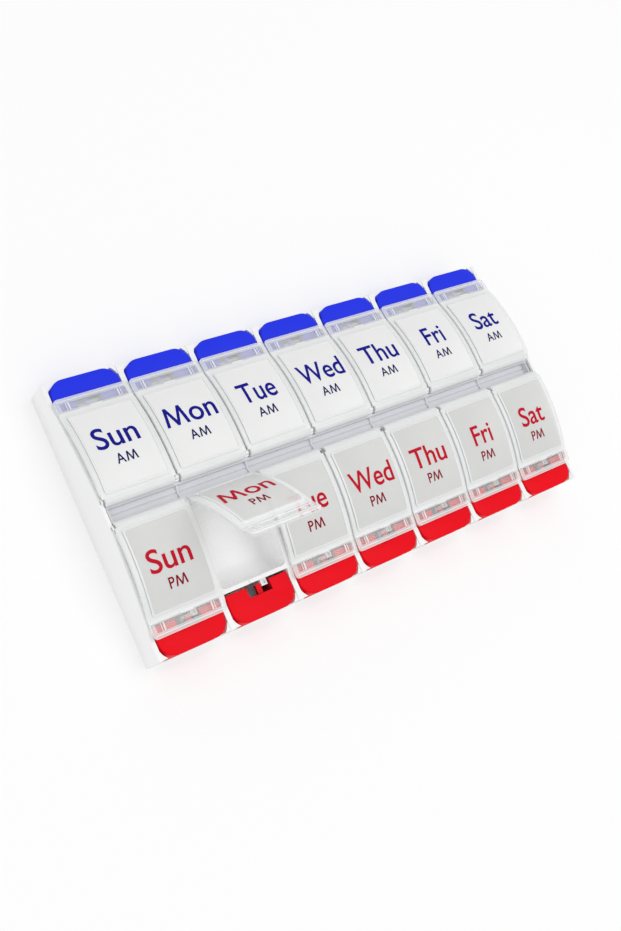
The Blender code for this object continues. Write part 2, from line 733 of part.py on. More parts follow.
shared_lid = lid_mesh()
shared_button = button_mesh()
button_finishes = {"am": AM_BUTTON_FINISH, "pm": PM_BUTTON_FINISH}
for row, row_turn in ROW_TURNS.items():
    side = math.cos(row_turn)
    for column, day in enumerate(DAYS):
        x = column_x(column)
        open_tilt = LID_OPEN_ANGLE if (day, row) == OPEN_LID else 0.0
        place_part(f"lid_{day}_{row}", shared_lid, finish_material(f"lid_{day}_{row}_clear", LID_FINISH),
                   (x, side * LID_AXIS_Y, LID_AXIS_Z), open_tilt, row_turn)
        place_part(f"button_{day}_{row}", shared_button,
                   finish_material(f"button_{day}_{row}_color", button_finishes[row]),
                   (x, side * BUTTON_AXIS_Y, BUTTON_AXIS_Z), 0.0, row_turn)
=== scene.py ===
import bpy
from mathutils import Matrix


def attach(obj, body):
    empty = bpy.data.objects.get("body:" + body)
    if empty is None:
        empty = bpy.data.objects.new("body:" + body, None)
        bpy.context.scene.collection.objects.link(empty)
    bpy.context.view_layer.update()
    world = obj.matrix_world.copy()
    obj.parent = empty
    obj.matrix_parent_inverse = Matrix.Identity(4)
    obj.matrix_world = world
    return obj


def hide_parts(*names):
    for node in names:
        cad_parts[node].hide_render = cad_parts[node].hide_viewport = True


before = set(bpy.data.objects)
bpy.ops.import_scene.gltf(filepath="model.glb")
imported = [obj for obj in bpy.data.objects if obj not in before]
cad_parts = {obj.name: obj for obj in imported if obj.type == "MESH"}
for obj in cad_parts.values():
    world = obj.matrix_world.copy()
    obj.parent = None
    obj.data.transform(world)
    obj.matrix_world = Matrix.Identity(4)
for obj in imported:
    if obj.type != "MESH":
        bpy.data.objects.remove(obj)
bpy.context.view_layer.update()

import math

import bmesh
import bpy
from mathutils import Matrix, Vector

print("pill organizer: frame loaded with", len(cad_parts), "nodes")

# Pieces are drawn in millimetres, for the closed morning lid of the middle column, and placed in metres at the end
mm = 0.001
layout = {
    "days": ("Sun", "Mon", "Tue", "Wed", "Thu", "Fri", "Sat"),
    "rows": {"am": 0.0, "pm": math.pi},      # the evening row is the morning row turned about Z
    "pitch": 30.5,
    "halfDepth": 53.2,
    "frontWall": 40.3,                       # outer face of the wall between pills and buttons
    "rimTop": 19.8, "rimRadius": 158.0,      # arch of the end walls and dividers
    "lidAxis": (5.0, 19.7),                  # y, z of the lid hinge
    "buttonAxis": (43.4, 8.0),
    "openLid": ("Mon", "pm"), "openAngle": 62.6,
    "smoothAngle": 30,                       # edges flatter than this are shaded smooth
}
halfLength = 3.5 * layout["pitch"] + 0.6
roof, cellar = layout["rimTop"] + 4, -4      # cutters that open upwards or downwards end here
bite = 0.2                                   # how far a joined piece or a cutter reaches into its neighbour


def rimZ(y):
    return layout["rimTop"] - layout["rimRadius"] + math.sqrt(layout["rimRadius"] ** 2 - y * y)


# Modelling helpers


def outline(start, moves, width, x=0.0):
    # a slab with a side outline in (y, z), of straight moves (y, z) and arcs (centre y, centre z, degrees, steps)
    bm = bmesh.new()
    first = last = bm.verts.new((x - width / 2, *start))
    for move in moves:
        if len(move) == 2:
            fresh = bm.verts.new((x - width / 2, *move))
            bm.edges.new((last, fresh))
            last = fresh
        else:
            spun = bmesh.ops.spin(bm, geom=[last], cent=(x - width / 2, move[0], move[1]), axis=(1, 0, 0),
                                  angle=math.radians(move[2]), steps=move[3])
            last = [item for item in spun["geom_last"] if isinstance(item, bmesh.types.BMVert)][0]
    bm.edges.new((last, first))
    bmesh.ops.edgeloop_fill(bm, edges=bm.edges[:])
    grown = bmesh.ops.extrude_face_region(bm, geom=bm.faces[:])
    moved = [item for item in grown["geom"] if isinstance(item, bmesh.types.BMVert)]
    bmesh.ops.translate(bm, vec=(width, 0, 0), verts=moved)
    bmesh.ops.recalc_face_normals(bm, faces=bm.faces[:])
    return bm


def block(low, high):
    bm = bmesh.new()
    low, high = Vector(low), Vector(high)
    bmesh.ops.create_cube(bm, size=1.0, matrix=Matrix.Translation((low + high) / 2)
                          @ Matrix.Diagonal((*(high - low), 1.0)))
    return bm


def rod(xLow, xHigh, y, z, radius, sides=32):
    bm = bmesh.new()
    place = Matrix.Translation(((xLow + xHigh) / 2, y, z)) @ Matrix.Rotation(math.pi / 2, 4, "Y")
    bmesh.ops.create_cone(bm, cap_ends=True, segments=sides, radius1=radius, radius2=radius, depth=xHigh - xLow,
                          matrix=place)
    return bm


def soften(bm, width, segments, wanted):
    edges = [edge for edge in bm.edges if wanted(edge)]
    bmesh.ops.bevel(bm, geom=edges, offset=width, offset_type="OFFSET", segments=segments, profile=0.5,
                    affect="EDGES", material=-1, clamp_overlap=True)
    return bm


def crisp(edge, degrees=40):
    return len(edge.link_faces) == 2 and edge.calc_face_angle() > math.radians(degrees)


def middle(edge):
    return (edge.verts[0].co + edge.verts[1].co) / 2


def asMesh(name, bm):
    mesh = bpy.data.meshes.new(name)
    bm.to_mesh(mesh)
    bm.free()
    return mesh


def repeated(name, parts, places):
    # one mesh of several parts at several places
    bm = bmesh.new()
    for part in parts:
        mesh = asMesh(name, part)
        for place in places:
            before = set(bm.verts)
            bm.from_mesh(mesh)
            bmesh.ops.transform(bm, matrix=place, verts=[vert for vert in bm.verts if vert not in before])
    return bm


def carve(name, body, steps):
    # carries out (operation, bmesh) steps on the body and returns one plain mesh
    work = bpy.data.objects.new(name, asMesh(name, body))
    bpy.context.scene.collection.objects.link(work)
    tools = []
    for number, (operation, tool) in enumerate(steps):
        holder = bpy.data.objects.new(f"{name}Tool{number}", asMesh(name, tool))
        bpy.context.scene.collection.objects.link(holder)
        modifier = work.modifiers.new(holder.name, "BOOLEAN")
        modifier.object, modifier.operation, modifier.solver = holder, operation, "EXACT"
        tools.append(holder)
    mesh = bpy.data.meshes.new_from_object(work.evaluated_get(bpy.context.evaluated_depsgraph_get()))
    for holder in [work] + tools:
        bpy.data.objects.remove(holder)
    bm = bmesh.new()
    bm.from_mesh(mesh)
    bmesh.ops.remove_doubles(bm, verts=bm.verts[:], dist=0.002)
    bmesh.ops.dissolve_degenerate(bm, dist=0.001, edges=bm.edges[:])
    bm.to_mesh(mesh)
    bm.free()
    return mesh


def columnX(index):
    return (index - 3) * layout["pitch"]


def rowTurn(row):
    return Matrix.Rotation(layout["rows"][row], 4, "Z")


def piecePlace(index, row, tilt=0.0):
    # from the drawn place to the column and row, with the lid turned on its hinge
    y, z = layout["lidAxis"]
    hinge = Matrix.Translation((0, y, z)) @ Matrix.Rotation(tilt, 4, "X") @ Matrix.Translation((0, -y, -z))
    return Matrix.Scale(mm, 4) @ Matrix.Translation((columnX(index), 0, 0)) @ rowTurn(row) @ hinge


def finished(name, mesh, materials, place, body):
    own = mesh.copy()
    own.name = name
    for material in materials:
        own.materials.append(material)
    own.transform(place)
    own.shade_smooth()
    own.set_sharp_from_angle(angle=math.radians(layout["smoothAngle"]))
    piece = bpy.data.objects.new(name, own)
    bpy.context.scene.collection.objects.link(piece)
    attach(piece, body)
    return piece


# Finishes


def linear(hexCode):
    channels = [int(hexCode[place:place + 2], 16) / 255 for place in (1, 3, 5)]
    return [c / 12.92 if c <= 0.04045 else ((c + 0.055) / 1.055) ** 2.4 for c in channels] + [1.0]


def addNode(tree, kind, settings=None, links=None):
    node = tree.nodes.new(kind)
    for name, value in (settings or {}).items():
        if isinstance(name, int) or name in node.inputs:
            node.inputs[name].default_value = value
        else:
            setattr(node, name, value)
    for name, source in (links or {}).items():
        tree.links.new(source, node.inputs[name])
    return node


def mouldedPlastic(name, look):
    # a moulded plastic: slight shade variation from flow, and a fine spark-eroded grain in gloss and bump
    material = bpy.data.materials.new(name)
    material.use_nodes = True
    tree = material.node_tree
    shader = tree.nodes["Principled BSDF"]
    place = addNode(tree, "ShaderNodeTexCoord").outputs["Object"]
    flow, grain = [addNode(tree, "ShaderNodeTexNoise", {"Scale": 1 / (look[size] * mm), "Detail": detail},
                           {"Vector": place}) for size, detail in (("flowSize", 2.0), ("grainSize", 3.0))]
    tint = addNode(tree, "ShaderNodeMix", {"data_type": "RGBA"}, {"Factor": flow.outputs["Fac"]})
    tint.inputs[6].default_value = linear(look["color"])
    tint.inputs[7].default_value = linear(look["shade"])
    tree.links.new(tint.outputs[2], shader.inputs["Base Color"])
    gloss = addNode(tree, "ShaderNodeMapRange", {"To Min": look["roughness"] - look["roughnessSpread"],
                                                 "To Max": look["roughness"] + look["roughnessSpread"]},
                    {"Value": grain.outputs["Fac"]})
    tree.links.new(gloss.outputs["Result"], shader.inputs["Roughness"])
    bump = addNode(tree, "ShaderNodeBump", {"Strength": look["bumpStrength"], "Distance": look["bumpDepth"] * mm},
                   {"Height": grain.outputs["Fac"]})
    tree.links.new(bump.outputs["Normal"], shader.inputs["Normal"])
    shader.inputs["IOR"].default_value = look["ior"]
    shader.inputs["Specular IOR Level"].default_value = look.get("specular", 0.5)
    shader.inputs["Alpha"].default_value = look.get("alpha", 1.0)
    shader.inputs["Coat Weight"].default_value = look.get("coat", 0.0)
    shader.inputs["Coat IOR"].default_value = look.get("coatIor", 1.5)
    shader.inputs["Coat Roughness"].default_value = look["roughness"]
    return material


# white polypropylene, injection moulded: bright and softly satin, edges catch a broad highlight
whitePolypropylene = mouldedPlastic("whitePolypropyleneMoulded", {
    "color": "#F6F7F6", "shade": "#F1F2F1", "roughness": 0.38, "roughnessSpread": 0.05, "ior": 1.49,
    "flowSize": 30.0, "grainSize": 0.5, "bumpStrength": 0.15, "bumpDepth": 0.02})
# the same polypropylene inside the compartments, a little glossier and painted the brightest white of the tray:
# painted light that lifts the shade inside them
insideLightPolypropylene = mouldedPlastic("whitePolypropylenePaintedLightInside", {
    "color": "#FEFEFE", "shade": "#FCFCFC", "roughness": 0.28, "roughnessSpread": 0.05, "ior": 1.49,
    "flowSize": 30.0, "grainSize": 0.5, "bumpStrength": 0.1, "bumpDepth": 0.02})
# the same polypropylene in the trough, rougher and painted greyer than the walls: painted shade for the deep channel
# between the lids
troughShadePolypropylene = mouldedPlastic("whitePolypropylenePaintedTroughShade", {
    "color": "#DFE0E4", "shade": "#DADBDF", "roughness": 0.5, "roughnessSpread": 0.05, "ior": 1.49, "specular": 0.3,
    "flowSize": 12.0, "grainSize": 0.5, "bumpStrength": 0.2, "bumpDepth": 0.02})
# blue and red ABS, dyed through: saturated and fairly matt, so the colour stays deep
blueAbs = mouldedPlastic("blueAbsMoulded", {
    "color": "#2235EA", "shade": "#1D2FE0", "roughness": 0.42, "roughnessSpread": 0.05, "ior": 1.53, "specular": 0.12,
    "flowSize": 12.0, "grainSize": 0.5, "bumpStrength": 0.15, "bumpDepth": 0.02})
redAbs = mouldedPlastic("redAbsMoulded", {
    "color": "#F00219", "shade": "#E60218", "roughness": 0.42, "roughnessSpread": 0.05, "ior": 1.53, "specular": 0.08,
    "flowSize": 12.0, "grainSize": 0.5, "bumpStrength": 0.15, "bumpDepth": 0.02})
# the same two plastics inside the buttons and in their notches, duller and painted much darker: painted shade of the
# hollows and narrow gaps
shadedBlueAbs = mouldedPlastic("blueAbsPaintedShadeInside", {
    "color": "#0E1480", "shade": "#0C1172", "roughness": 0.55, "roughnessSpread": 0.05, "ior": 1.53, "specular": 0.1,
    "flowSize": 12.0, "grainSize": 0.5, "bumpStrength": 0.2, "bumpDepth": 0.02})
shadedRedAbs = mouldedPlastic("redAbsPaintedShadeInside", {
    "color": "#96101C", "shade": "#8A0E19", "roughness": 0.55, "roughnessSpread": 0.05, "ior": 1.53, "specular": 0.1,
    "flowSize": 12.0, "grainSize": 0.5, "bumpStrength": 0.2, "bumpDepth": 0.02})
# natural polypropylene, polished mould: clear but milky. Being see-through dims the shine, so the coat is stronger
clearPolypropylene = mouldedPlastic("clearPolypropylene", {
    "color": "#FBFCFC", "shade": "#F6F8F8", "roughness": 0.2, "roughnessSpread": 0.04, "ior": 1.49, "alpha": 0.2,
    "coat": 1.0, "coatIor": 1.8, "flowSize": 12.0, "grainSize": 0.6, "bumpStrength": 0.1, "bumpDepth": 0.02})
# the morning lids' clear parts, whiter and more opaque than the evening lids': a painted reflection of the room, so
# they hide the blue more
sheenClearPolypropylene = mouldedPlastic("sheenClearPolypropylene", {
    "color": "#FBFCFC", "shade": "#F6F8F8", "roughness": 0.2, "roughnessSpread": 0.04, "ior": 1.49, "alpha": 0.34,
    "coat": 1.0, "coatIor": 1.8, "flowSize": 12.0, "grainSize": 0.6, "bumpStrength": 0.1, "bumpDepth": 0.02})
# the same polypropylene along the strips, over the buttons: half see-through
cloudyPolypropylene = mouldedPlastic("cloudyPolypropylene", {
    "color": "#F7F9F9", "shade": "#F1F4F4", "roughness": 0.25, "roughnessSpread": 0.04, "ior": 1.49, "alpha": 0.55,
    "flowSize": 12.0, "grainSize": 0.6, "bumpStrength": 0.1, "bumpDepth": 0.02})
# the same polypropylene from a blasted mould: frosted, it hides most of what is under it
frostedPolypropylene = mouldedPlastic("frostedPolypropylene", {
    "color": "#FAFAF9", "shade": "#F5F6F5", "roughness": 0.4, "roughnessSpread": 0.06, "ior": 1.49, "alpha": 0.86,
    "flowSize": 12.0, "grainSize": 0.35, "bumpStrength": 0.3, "bumpDepth": 0.03})
# the evening lids' frosting, painted a shade greyer than the morning lids': painted shade, as the morning lids catch
# more reflected light
shadedFrostedPolypropylene = mouldedPlastic("shadedFrostedPolypropylene", {
    "color": "#E6E6E4", "shade": "#DFE0DE", "roughness": 0.4, "roughnessSpread": 0.06, "ior": 1.49, "alpha": 0.82,
    "flowSize": 12.0, "grainSize": 0.35, "bumpStrength": 0.3, "bumpDepth": 0.03})
# the same polypropylene where it is thick or rounded, beside the panel and on ribs, rims and hinge nose: whiter,
# partly from its thickness and partly a painted highlight for the glints at its edges
denseHighlightPolypropylene = mouldedPlastic("denseHighlightPolypropylene", {
    "color": "#FBFCFC", "shade": "#F6F8F8", "roughness": 0.25, "roughnessSpread": 0.04, "ior": 1.49, "alpha": 0.78,
    "flowSize": 12.0, "grainSize": 0.6, "bumpStrength": 0.1, "bumpDepth": 0.02})
# pad-printed ink, thin and matt
navyInk = mouldedPlastic("navyPrintingInk", {
    "color": "#17168E", "shade": "#151484", "roughness": 0.6, "roughnessSpread": 0.05, "ior": 1.45, "specular": 0.1,
    "flowSize": 3.0, "grainSize": 0.3, "bumpStrength": 0.1, "bumpDepth": 0.01})
darkNavyInk = mouldedPlastic("darkNavyPrintingInk", {
    "color": "#16165C", "shade": "#141454", "roughness": 0.6, "roughnessSpread": 0.05, "ior": 1.45, "specular": 0.1,
    "flowSize": 3.0, "grainSize": 0.3, "bumpStrength": 0.1, "bumpDepth": 0.01})
redInk = mouldedPlastic("redPrintingInk", {
    "color": "#C41029", "shade": "#BC0F27", "roughness": 0.6, "roughnessSpread": 0.05, "ior": 1.45, "specular": 0.1,
    "flowSize": 3.0, "grainSize": 0.3, "bumpStrength": 0.1, "bumpDepth": 0.01})
darkRedInk = mouldedPlastic("darkRedPrintingInk", {
    "color": "#8E0F26", "shade": "#860E23", "roughness": 0.6, "roughnessSpread": 0.05, "ior": 1.45, "specular": 0.1,
    "flowSize": 3.0, "grainSize": 0.3, "bumpStrength": 0.1, "bumpDepth": 0.01})
print("finishes ready")


# Sizes of a button, which the tray's wells follow too

button = {
    "half": 13.7, "inner": 41.0, "top": 13.7, "bottom": 3.6, "corner": 6.0, "wall": 1.3, "edge": 0.5,
    "notch": (-0.65, 9.9, 4.0),              # middle x, width, depth
    "tongue": (-1.2, 2.2, 1.5, 1.5, 0.3),    # middle x, width, drop below the top, thickness, set back
    "relief": 1.2, "pin": 1.0, "pinTip": 15.05,
}


# Tray

tray = {
    "base": 1.4, "floor": 1.6, "divider": 1.8, "fin": 2.2, "edge": 0.6,
    "wall": 1.5, "spine": 3.1, "spineTop": 18.6, "shoulder": 44.0, "finTop": 13.3,
    "rearFillet": 4.0, "scoop": 9.0, "sideFillet": 1.8,
    "hingeRoom": (2.4, 2.5),                         # in front of the lid hinge and below it
    "troughFloor": 16.2, "troughHalf": 2.3, "grooveWidth": 0.6, "grooveDepth": 0.5,
    "spineWall": 1.2, "troughThick": 1.5,            # left round the hollow under the trough
    "webThick": 0.9, "webRise": 1.4, "webFoot": 0.7, "endSlot": 0.7, "endRib": 0.6, "endSlotDepth": 1.0,
    "recess": 0.5, "recessMargin": 4.0, "recessCorner": 3.0,
    "earRadius": 1.15, "earInset": 0.1, "earEdge": 0.25, "lidPinHole": 0.8, "buttonPinHole": 1.25,
    "bumpBase": 8.4, "bumpTop": 5.6, "bumpRise": 0.5, "bumpInset": 0.15,
    "cornerFill": (11.2, 49.8, 52.85, 12.9),         # first x, first and last y, top
    "buttonRoom": (0.4, 0.85),                       # gap to the button, and how far its corner swings out
    "catch": (-3.95, 2.6, 2.4, 12.4, 6.0),           # middle x, width, reach, top, height
    "catchWall": 0.5, "catchPocket": 1.0,
}


def trayBody():
    t, sweep = tray, math.degrees(math.asin(layout["frontWall"] / layout["rimRadius"]))
    arch = layout["rimTop"] - layout["rimRadius"]
    half, depth = layout["frontWall"], layout["halfDepth"]
    bm = outline((half, rimZ(half)), [(0.0, arch, 2 * sweep, 40), (-t["shoulder"], t["finTop"]),
                                      (-depth, t["finTop"]), (-depth, 0), (depth, 0), (depth, t["finTop"]),
                                      (t["shoulder"], t["finTop"])], 2 * halfLength)
    return soften(bm, t["edge"], 3, lambda edge: crisp(edge, 50))


def compartment():
    t = tray
    half = (layout["pitch"] - t["divider"]) / 2
    inner = layout["frontWall"] - t["wall"]
    bm = block((-half, t["spine"], t["floor"]), (half, inner, roof))
    soften(bm, t["rearFillet"], 6, lambda e: middle(e).y < t["spine"] + 0.1 and middle(e).z < t["floor"] + 0.1
           and abs(middle(e).x) < 0.1)
    soften(bm, t["scoop"], 12, lambda e: middle(e).y > inner - 0.1 and middle(e).z < t["floor"] + 0.1
           and abs(middle(e).x) < 0.1)
    return soften(bm, t["sideFillet"], 4, lambda e: crisp(e, 50) and middle(e).z < roof - 1)


def trayMesh():
    t = tray
    everyPlace = [Matrix.Translation((columnX(index), 0, 0)) @ rowTurn(row)
                  for index in range(7) for row in layout["rows"]]
    inner = [Matrix.Translation((columnX(index) + layout["pitch"] / 2, 0, 0)) for index in range(6)]
    here = [Matrix.Identity(4)]
    y, z = layout["lidAxis"]
    halfCavity = (layout["pitch"] - t["divider"]) / 2
    channel = 3.5 * layout["pitch"] - t["divider"] / 2
    trough = channel - t["endSlot"] - t["endRib"]
    halfWell = (layout["pitch"] - t["fin"]) / 2
    well = block((-halfWell, layout["frontWall"], t["base"]), (halfWell, layout["halfDepth"] + 4, roof))
    ahead, under = t["hingeRoom"]
    clearance = block((-halfCavity, t["spine"] + 0.02, z - under), (halfCavity, y + ahead, roof))
    slots = [block((min(side * channel, side * (channel - t["endSlot"])), -t["troughHalf"],
                    t["troughFloor"] - t["endSlotDepth"]),
                   (max(side * channel, side * (channel - t["endSlot"])), t["troughHalf"], roof)) for side in (-1, 1)]
    webHalf = t["troughHalf"] + bite
    webFoot, webTop = t["troughFloor"] - t["webFoot"], t["troughFloor"] + t["webRise"]
    web = outline((-webHalf, webFoot), [(webHalf, webFoot), (webHalf, webTop), (0, t["troughFloor"] + 0.2),
                                        (-webHalf, webTop)], t["webThick"])
    recessX, recessY = halfLength - t["recessMargin"], layout["halfDepth"] - t["recessMargin"]
    recess = soften(block((-recessX, -recessY, cellar), (recessX, recessY, t["recess"])), t["recessCorner"], 8,
                    lambda e: abs(e.verts[0].co.z - e.verts[1].co.z) > 3)
    ears, lidHoles, buttonHoles = [], [], []
    for index in range(8):
        x = (index - 3.5) * layout["pitch"]
        low, high = x - t["divider"] / 2, x + t["divider"] / 2
        finLow, finHigh = x - t["fin"] / 2 - bite, x + t["fin"] / 2 + bite
        if index == 0:
            low = finLow = x
        if index == 7:
            high = finHigh = x
        for side in (-1, 1):
            ears.append(soften(rod(low + t["earInset"], high - t["earInset"], side * y, z, t["earRadius"]),
                               t["earEdge"], 2, crisp))
            lidHoles.append(rod(low - bite * (index > 0), high + bite * (index < 7), side * y, z,
                                t["lidPinHole"], 20))
            buttonHoles.append(rod(finLow, finHigh, side * layout["buttonAxis"][0], layout["buttonAxis"][1],
                                   t["buttonPinHole"], 20))
    foot = rimZ(layout["frontWall"]) - bite
    bumpZ = rimZ(layout["frontWall"] - t["wall"]) + t["bumpRise"]
    bump = block((-t["bumpBase"] / 2, layout["frontWall"] - t["wall"] + t["bumpInset"], foot - 4),
                 (t["bumpBase"] / 2, layout["frontWall"] - t["bumpInset"], bumpZ))
    bmesh.ops.scale(bump, vec=(t["bumpTop"] / t["bumpBase"], 1, 1), verts=[v for v in bump.verts if v.co.z > foot])
    cx, cw, reach, ctop, ch = t["catch"]
    catch = block((cx - cw / 2, layout["frontWall"] - bite, ctop - ch),
                  (cx + cw / 2, layout["frontWall"] + reach, ctop))
    pocket = block((cx - cw / 2 + t["catchWall"], layout["frontWall"] + t["catchWall"], ctop - t["catchPocket"]),
                   (cx + cw / 2 - t["catchWall"], layout["frontWall"] + reach - t["catchWall"], roof))
    fillX, fillLow, fillHigh, fillTop = t["cornerFill"]
    fillGap, swing = t["buttonRoom"]
    cornerX, cornerY = button["half"] - button["corner"], layout["halfDepth"] - button["corner"] + swing
    fills = []
    for side in (-1, 1):
        fill = block((min(side * fillX, side * (halfWell + bite)), fillLow, t["base"] - bite),
                     (max(side * fillX, side * (halfWell + bite)), fillHigh, fillTop))
        bow = bmesh.new()
        bmesh.ops.create_cone(bow, cap_ends=True, segments=64, radius1=button["corner"] + fillGap,
                              radius2=button["corner"] + fillGap, depth=30,
                              matrix=Matrix.Translation((side * cornerX, cornerY, 0)))
        fills.append(bmesh.new())
        fills[-1].from_mesh(carve("cornerFill", fill, [("DIFFERENCE", bow)]))
    spineReach = t["spine"] + 0.3
    hollowX, hollowY = recessX - bite, t["spine"] - t["spineWall"]
    hollow = block((-hollowX, -hollowY, cellar),
                   (hollowX, hollowY, t["troughFloor"] - t["grooveDepth"] - t["troughThick"]))
    return carve("tray", trayBody(), [
        ("DIFFERENCE", repeated("compartments", [compartment()], everyPlace)),
        ("DIFFERENCE", repeated("wells", [well], everyPlace)),
        ("DIFFERENCE", repeated("clearances", [clearance], everyPlace)),
        ("DIFFERENCE", block((-channel, -spineReach, t["spineTop"]), (channel, spineReach, roof))),
        ("DIFFERENCE", block((-trough, -t["troughHalf"], t["troughFloor"]), (trough, t["troughHalf"], roof))),
        ("DIFFERENCE", block((-trough + bite, -t["grooveWidth"] / 2, t["troughFloor"] - t["grooveDepth"]),
                             (trough - bite, t["grooveWidth"] / 2, t["troughFloor"] + 0.5))),
        ("DIFFERENCE", repeated("endSlots", slots, here)),
        ("UNION", repeated("webs", [web], inner)),
        ("DIFFERENCE", hollow),
        ("DIFFERENCE", recess),
        ("UNION", repeated("ears", ears, here)),
        ("DIFFERENCE", repeated("lidHoles", lidHoles, here)),
        ("UNION", repeated("bumps", [bump], everyPlace)),
        ("UNION", repeated("catches", [catch], everyPlace)),
        ("UNION", repeated("cornerFills", fills, everyPlace)),
        ("DIFFERENCE", repeated("pockets", [pocket], everyPlace)),
        ("DIFFERENCE", repeated("buttonHoles", buttonHoles, here)),
    ])


sharedTray = trayMesh()
for face in sharedTray.polygons:
    place = face.center
    # faces in the trough, which take the painted shade
    inTrough = abs(place.y) < tray["spine"] + 0.2 and 15.0 < place.z < 18.7 and abs(place.x) < halfLength - 1
    # faces inside the compartments, which take the painted light
    inside = (tray["spine"] - 0.05 < abs(place.y) < layout["frontWall"] - tray["wall"] + 0.05
              and tray["floor"] - 0.1 < place.z < rimZ(place.y) - 0.05 and abs(place.x) < halfLength - 1)
    face.material_index = 1 if inTrough else 2 if inside else 0
trayShell = finished("trayShell", sharedTray, [whitePolypropylene, troughShadePolypropylene, insideLightPolypropylene],
                     Matrix.Scale(mm, 4), "tray")
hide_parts("tray")
print("tray:", len(trayShell.data.polygons), "faces")


# Buttons

def buttonMesh():
    b, depth = button, layout["halfDepth"]
    nx, nw, nd = b["notch"]
    tx, tw, drop, thick, back = b["tongue"]

    def cornered(bm, radius):
        return soften(bm, radius, 10, lambda e: middle(e).y > depth - 2 * b["wall"]
                      and abs(e.verts[0].co.z - e.verts[1].co.z) > 3)

    body = cornered(block((-b["half"], b["inner"], b["bottom"]), (b["half"], depth, b["top"])), b["corner"])
    notch = block((nx - nw / 2, b["inner"] - 2, b["bottom"] - 2), (nx + nw / 2, b["inner"] + nd, b["top"] + 2))
    shell = bmesh.new()
    shell.from_mesh(carve("button", body, [("DIFFERENCE", notch)]))
    soften(shell, b["edge"], 3, lambda e: crisp(e, 50) and middle(e).z > b["top"] - 0.01)
    w = b["wall"]
    hollow = cornered(block((-b["half"] + w, b["inner"] + w, b["bottom"] - 2),
                            (b["half"] - w, depth - w, b["top"] - w)), b["corner"] - w)
    around = block((nx - nw / 2 - w, b["inner"] - 2, b["bottom"] - 3),
                   (nx + nw / 2 + w, b["inner"] + nd + w, b["top"] + 2))
    hollowMesh = bmesh.new()
    hollowMesh.from_mesh(carve("buttonHollow", hollow, [("DIFFERENCE", around)]))
    pinRoot = b["half"] - w / 2
    pins = [rod(low, high, *layout["buttonAxis"], b["pin"], 20)
            for low, high in ((-b["pinTip"], -pinRoot), (pinRoot, b["pinTip"]))]
    return carve("button", shell, [
        ("DIFFERENCE", hollowMesh),
        ("DIFFERENCE", block((-16, b["inner"] - 3, b["bottom"] - 3),
                             (16, b["inner"] + b["relief"], layout["buttonAxis"][1]))),
        ("UNION", block((tx - tw / 2, b["inner"] + back, b["top"] - drop - thick),
                        (tx + tw / 2, b["inner"] + nd + w / 2, b["top"] - drop))),
        ("UNION", pins[0]),
        ("UNION", pins[1]),
    ])


sharedButton = buttonMesh()
for face in sharedButton.polygons:   # the inside and the notch get painted shade, the darker colour
    overX = max(abs(face.center.x) - button["half"] + button["corner"], 0)
    overY = max(face.center.y - layout["halfDepth"] + button["corner"], 0)
    outside = math.hypot(overX, overY) > button["corner"] - 0.1
    face.material_index = 0 if outside or face.normal.z > 0.35 else 1
for index, day in enumerate(layout["days"]):
    for row in layout["rows"]:
        node = f"button_{day.lower()}_{row}"
        shell = finished(f"buttonShell_{day.lower()}_{row}", sharedButton,
                         [blueAbs, shadedBlueAbs] if row == "am" else [redAbs, shadedRedAbs],
                         piecePlace(index, row), node)
        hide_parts(node)
print("buttons:", len(sharedButton.polygons), "faces each")


# Lids. Places are those of a closed morning lid

lid = {
    "half": 14.9, "start": 7.05, "crown": (12.2, 22.2), "frontRise": 1.6, "thickness": 1.3, "edge": 0.5,
    "wallGap": (-1.9, 0.4),                       # first and last y of the step over the front wall, from its face
    "panelHalf": 13.1, "panelStart": 6.6, "panelEnd": 38.4, "panelRise": 0.45, "panelEdge": 0.25, "panelCorner": 1.0,
    "windowInset": 0.75, "windowDepth": 0.22, "windowCorner": 0.8, "windowEdge": 0.15,
    "stripStart": 39.6, "stripEnd": 45.8, "stripTop": 15.7, "stripBottom": 14.2, "stripInner": 14.9,
    "stripCorner": 1.8,
    "overWall": 15.76, "skirt": 1.0, "skirtInset": 0.05, "pin": 0.7, "pinTip": 15.05,
    "barrel": 1.5, "barrelHalf": 14.05, "nose": 2.15, "noseHalf": 13.9, "noseEdge": 0.35,
    "crease": (14.5, 0.1, 0.02, 0.13),            # half length, y and z past the nose's top, radius
    "hook": (0.0, 4.6, 41.4, 2.2, 13.1, 1.0),     # middle x, width, start y, length, bottom, foot
    "hookRoot": 15.4,
    "pockets": ((-13.2, -11.0), (-10.75, -10.15), (-9.6, 9.6), (10.15, 10.75), (11.0, 13.2)),   # between the ribs
    "pocketY": (40.75, 43.7), "pocketDepth": 0.5,
    "beadGroove": (44.4, 44.85, 0.25),
    "bandEnd": 40.15,                             # the white band across the front wall
    "shoulder": (5.4, 14.75, 1.45),               # first y, half width, height over the pin of the plate's back end
    "step": (-0.1, 5.8, 4.6, 39.4, 40.6, 0.15),   # middle x, width at its root and tip, first and last y, rise
}
archDrop = lid["crown"][1] - rimZ(layout["frontWall"]) - lid["frontRise"]
archRun = layout["frontWall"] - lid["crown"][0]
archRadius = (archRun ** 2 + archDrop ** 2) / (2 * archDrop)
archCentre = (lid["crown"][0], lid["crown"][1] - archRadius)


def archZ(y, rise=0.0):
    return archCentre[1] + math.sqrt((archRadius + rise) ** 2 - (y - archCentre[0]) ** 2)


def archTurn(yFrom, yTo, rise=0.0):
    # degrees about +X from one y to another along the arch, less than zero towards the front
    radius = archRadius + rise
    return math.degrees(math.asin((yFrom - archCentre[0]) / radius) - math.asin((yTo - archCentre[0]) / radius))


